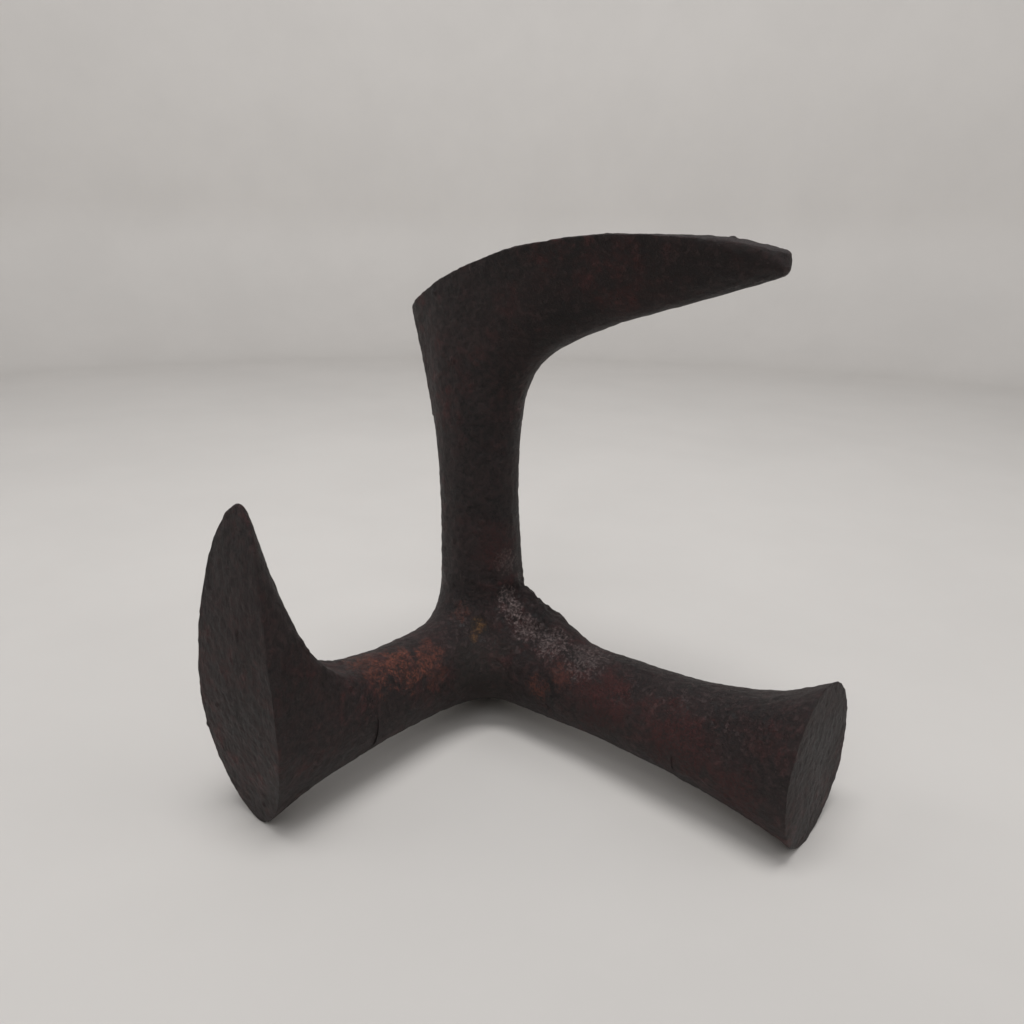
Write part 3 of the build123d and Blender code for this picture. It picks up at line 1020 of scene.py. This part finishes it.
def skin_material(groups):
    """Old cast skin: dark brown-black scale, maroon oxide, rust patches, a painted highlight on the
    shoulder and rubbed edges.
    """
    finish = settings().finish
    material, tree, shader = new_material("cast_skin")
    grain = group_node(tree, groups["grain"], Coarseness=1.0)
    tone = Term(tree, grain.outputs["Tone"])
    flecks = Term(tree, grain.outputs["Flecks"])
    place = object_place(tree)
    mottle = noise(tree, place, 330.0, 9.0, 0.8, 21.0).step(0.43, 0.58)
    light = tone * 0.4 + mottle * 0.6
    colour_now = tinted(tree, finish.scale_black, finish.scale_brown, light)
    broad = noise(tree, place, 21.0, 3.0, 0.55, 12.0).step(0.42, 0.62)
    ragged = noise(tree, place, 105.0, 8.0, 0.72, 14.0).step(0.44, 0.62)
    colour_now = tinted(tree, colour_now, finish.maroon, broad * ragged * mottle.between(0.3, 0.95))
    # Mask of the rust patches and of the painted highlight on the shoulder.
    rust_and_highlight = None
    for colour_name, centre, radius, raggedness, patch_grain, strength in PATCHES:
        mask = strength * group_mask(
            tree, groups["patch"], Centre=tuple(value * MM for value in centre), Radius=radius * MM,
            Raggedness=raggedness, Grain=patch_grain,
        )
        colour_now = tinted(tree, colour_now, getattr(finish, colour_name), mask)
        rust_and_highlight = mask if rust_and_highlight is None else rust_and_highlight.math("MAXIMUM", mask)
    colour_now = tinted(tree, colour_now, finish.scuffed, flecks * 0.5)
    scratches = group_mask(tree, groups["scratch"], Amount=0.6)
    colour_now = tinted(tree, colour_now, finish.scuffed, scratches * 0.5)
    edge = group_mask(tree, groups["edge"], Amount=0.7)
    colour_now = tinted(tree, colour_now, finish.bared_iron, edge)
    plug(tree, shader.inputs["Base Color"], colour_now)
    rough = (tone.between(0.5, 0.62) + rust_and_highlight * 0.15 - edge * 0.22 - scratches * 0.1).clamped()
    plug(tree, shader.inputs["Roughness"], rough)
    plug(tree, shader.inputs["Metallic"], (edge * 0.7 + scratches * 0.3).clamped())
    shader.inputs["Specular IOR Level"].default_value = 0.32
    height = Term(tree, grain.outputs["Height"]) + mottle * 0.3 + rust_and_highlight * 0.3 - scratches * 0.3
    bumped(tree, shader, height, 0.8 * MM, 0.9)
    return material


def face_material(groups):
    """Working faces: smooth dark iron with fine scratches, stained brown towards the middle."""
    finish = settings().finish
    material, tree, shader = new_material("working_face")
    grain = group_node(tree, groups["grain"], Coarseness=0.35)
    tone = Term(tree, grain.outputs["Tone"])
    place = object_place(tree)
    stain = noise(tree, place, 26.0, 5.0, 0.6, 20.0).step(0.4, 0.68)
    colour_now = tinted(tree, finish.scale_black, finish.face_iron, tone.between(0.55, 1.0))
    colour_now = tinted(tree, colour_now, finish.maroon, stain * 0.28)
    scratches = group_mask(tree, groups["scratch"], Amount=0.8)
    colour_now = tinted(tree, colour_now, finish.bared_iron, scratches * 0.35)
    edge = group_mask(tree, groups["edge"], Amount=0.9)
    colour_now = tinted(tree, colour_now, finish.bared_iron, edge)
    plug(tree, shader.inputs["Base Color"], colour_now)
    rough = (stain.between(0.66, 0.76) - edge * 0.2 + tone * 0.06).clamped()
    plug(tree, shader.inputs["Roughness"], rough)
    plug(tree, shader.inputs["Metallic"], (scratches * 0.4 + edge * 0.6).clamped())
    shader.inputs["Specular IOR Level"].default_value = 0.14
    height = Term(tree, grain.outputs["Height"]) - scratches * 0.4
    bumped(tree, shader, height, 0.2 * MM, 0.4)
    return material


def iron_materials():
    """Materials of the last, built once and shared by all its regions."""
    if "cast_skin" not in bpy.data.materials:
        groups = {
            "patch": patch_group(), "scratch": scratch_group(),
            "grain": grain_group(), "edge": edge_group(),
        }
        skin_material(groups)
        face_material(groups)
    return [bpy.data.materials["cast_skin"], bpy.data.materials["working_face"]]


# ---- operators ------------------------------------------------------------------------------
class SHOELAST_OT_pour_casting(Operator):
    """Make the whole casting as one rough skin, from which the regions are cut"""

    bl_idname = "shoe_last.pour_casting"
    bl_label = "Pour casting"

    def execute(self, context):
        casting = settings().casting
        iron = iron_materials()[0]
        values = {
            "Swell": casting.swell, "Roughness": casting.roughness, "Pit Depth": casting.pit_depth,
            "Flash Height": casting.flash_height, "Flash Width": casting.flash_width,
            "Flash Reach": casting.flash_reach, "Rib Roughness": casting.rib_roughness,
            "Rib Reach": casting.rib_reach, "Rib Middle": crossing() + casting.rib_middle, "Iron": iron,
        }
        smooth = raw_ends(iron)
        whole = raw_casting(iron, [mesh.copy() for mesh in smooth.values()])
        smooth = {name: melted(mesh, RIM_STEPS) for name, mesh in smooth.items()}
        draw_necks_together(smooth, whole)
        smooth[WHOLE] = whole
        relief = relief_tree()
        for name, mesh in smooth.items():
            mark_faces_and_edges(mesh)
            rough = keep_normals(rested_on_bench(grown(name, relief, values, mesh)))
            rough.materials.clear()
            rough.name = name + SKIN
            rough.use_fake_user = True
        return {"FINISHED"}


def cut_pieces(names):
    for name in names:
        finished_piece(name, cut_region(name), iron_materials())


class SHOELAST_OT_hub(Operator):
    """Cut the hub, where the three legs meet"""

    bl_idname = "shoe_last.hub"
    bl_label = "Hub"

    def execute(self, context):
        cut_pieces(["hub"])
        return {"FINISHED"}


class SHOELAST_OT_legs(Operator):
    """Cut the three round legs"""

    bl_idname = "shoe_last.legs"
    bl_label = "Legs"

    def execute(self, context):
        cut_pieces(["adult_leg", "child_leg", "heel_leg"])
        return {"FINISHED"}


class SHOELAST_OT_feet(Operator):
    """Cut the adult foot and the child's foot"""

    bl_idname = "shoe_last.feet"
    bl_label = "Feet"

    def execute(self, context):
        cut_pieces(["adult_foot", "child_foot"])
        return {"FINISHED"}


class SHOELAST_OT_heel_pad(Operator):
    """Cut the flat heel pad"""

    bl_idname = "shoe_last.heel_pad"
    bl_label = "Heel pad"

    def execute(self, context):
        cut_pieces(["heel_pad"])
        return {"FINISHED"}


# ---- stage ----------------------------------------------------------------------------------
COVE_STEPS = 16
FLOOR_SIDES = 96


def floor_material():
    """Pale grey board, faintly mottled."""
    material, tree, shader = new_material("pale_floor")
    place = object_place(tree)
    mottle = noise(tree, place, 5.0, 5.0, 0.6, 1.0).step(0.3, 0.7)
    base = settings().stage.floor_colour
    darker = tuple(value * 0.96 for value in base)
    plug(tree, shader.inputs["Base Color"], tinted(tree, darker, base, mottle))
    shader.inputs["Roughness"].default_value = 0.55
    shader.inputs["Specular IOR Level"].default_value = 0.35
    return material


def add_floor():
    """Round floor that curves up into a pale wall on every side."""
    props = settings().stage
    profile = [(props.floor_radius * share, 0.0) for share in (0.0, 0.5, 1.0)]
    for step in range(1, COVE_STEPS + 1):
        turn = math.pi / 2 * step / COVE_STEPS
        out = props.floor_radius + props.cove_radius * math.sin(turn)
        profile.append((out, props.cove_radius * (1 - math.cos(turn))))
    profile.append((profile[-1][0], props.wall_height))
    shape = bmesh.new()
    line = [shape.verts.new((out, 0, up)) for out, up in profile]
    edges = [shape.edges.new(pair) for pair in zip(line, line[1:])]
    bmesh.ops.spin(
        shape, geom=line + edges, cent=(0, 0, 0), axis=(0, 0, 1), angle=2 * math.pi,
        steps=FLOOR_SIDES, use_merge=True,
    )
    bmesh.ops.remove_doubles(shape, verts=shape.verts, dist=1e-6)
    bmesh.ops.recalc_face_normals(shape, faces=shape.faces)
    if sum(face.normal.z for face in shape.faces) < 0:
        bmesh.ops.reverse_faces(shape, faces=shape.faces)
    mesh = bpy.data.meshes.new("floor")
    shape.to_mesh(mesh)
    shape.free()
    mesh.polygons.foreach_set("use_smooth", [True] * len(mesh.polygons))
    mesh.materials.append(floor_material())
    floor = bpy.data.objects.new("floor", mesh)
    bpy.context.scene.collection.objects.link(floor)


def add_area_light(name, place, target, size, power):
    light = bpy.data.lights.new(name, "AREA")
    light.shape = "DISK"
    light.size = size
    light.energy = power
    item = bpy.data.objects.new(name, light)
    item.location = place
    item.rotation_euler = (Vector(target) - Vector(place)).to_track_quat("-Z", "Y").to_euler()
    bpy.context.scene.collection.objects.link(item)


def add_lights():
    """Broad lamp overhead on the camera's side, a weaker one each side, and a pale sky."""
    facing = settings().stage.heading
    away = Vector((-math.sin(facing), math.cos(facing), 0))
    right = Vector((away.y, -away.x, 0))
    target = (0.04, -0.03, 0.05)
    above = Vector((0, 0, 1))
    add_area_light("overhead", right * -0.1 - away * 1.0 + above * 1.2, target, 0.9, 5.0)
    add_area_light("left_fill", right * -1.1 - away * 0.2 + above * 0.9, target, 0.8, 1.5)
    add_area_light("right_fill", right * 1.1 - away * 0.3 + above * 0.8, target, 0.8, 1.5)
    add_area_light("wall_wash", above * 1.6 - away * 0.2, away * 1.8 + above * 0.5, 1.0, 25.0)
    world = bpy.data.worlds.new("pale_sky")
    world.use_nodes = True
    background = world.node_tree.nodes["Background"]
    background.inputs["Color"].default_value = (0.93, 0.96, 1.0, 1.0)
    background.inputs["Strength"].default_value = 0.28
    bpy.context.scene.world = world


def add_camera():
    props = settings().stage
    camera = bpy.data.cameras.new("camera")
    camera.lens = props.lens
    camera.sensor_width = props.sensor
    camera.clip_start = 0.01
    item = bpy.data.objects.new("camera", camera)
    turn = (
        Matrix.Rotation(props.heading, 4, "Z")
        @ Matrix.Rotation(math.pi / 2 - props.pitch, 4, "X")
        @ Matrix.Rotation(props.roll, 4, "Z")
    )
    item.matrix_world = Matrix.Translation(Vector(props.camera_place)) @ turn
    bpy.context.scene.collection.objects.link(item)
    bpy.context.scene.camera = item


class SHOELAST_OT_stage(Operator):
    """Set up the floor, the lights and the camera"""

    bl_idname = "shoe_last.stage"
    bl_label = "Stage"

    def execute(self, context):
        add_camera()
        add_floor()
        add_lights()
        context.scene.view_settings.view_transform = "Standard"
        return {"FINISHED"}


class SHOELAST_PT_sidebar(Panel):
    """Sidebar of the shoe last"""

    bl_label = "Shoe Last"
    bl_idname = "SHOELAST_PT_sidebar"
    bl_space_type = "VIEW_3D"
    bl_region_type = "UI"
    bl_category = "Shoe Last"

    def draw(self, context):
        for operator in OPERATORS:
            self.layout.operator(operator.bl_idname)
        props = context.scene.shoe_last
        for group in (props.adult, props.child, props.heel, props.casting, props.finish, props.stage):
            box = self.layout.box()
            for key in group.__annotations__:
                box.prop(group, key)


OPERATORS = (
    SHOELAST_OT_stage,
    SHOELAST_OT_pour_casting,
    SHOELAST_OT_hub,
    SHOELAST_OT_legs,
    SHOELAST_OT_feet,
    SHOELAST_OT_heel_pad,
)
CLASSES = (
    *END_GROUPS,
    ShoeLastCasting,
    ShoeLastFinish,
    ShoeLastStage,
    ShoeLastSettings,
    *OPERATORS,
    SHOELAST_PT_sidebar,
)


def register():
    for item in CLASSES:
        bpy.utils.register_class(item)
    bpy.types.Scene.shoe_last = PointerProperty(type=ShoeLastSettings)


def unregister():
    del bpy.types.Scene.shoe_last
    for item in reversed(CLASSES):
        bpy.utils.unregister_class(item)


def main():
    register()
    bpy.ops.shoe_last.stage()
    bpy.ops.shoe_last.pour_casting()
    bpy.ops.shoe_last.hub()
    bpy.ops.shoe_last.legs()
    bpy.ops.shoe_last.feet()
    bpy.ops.shoe_last.heel_pad()


if __name__ == "__main__":
    main()
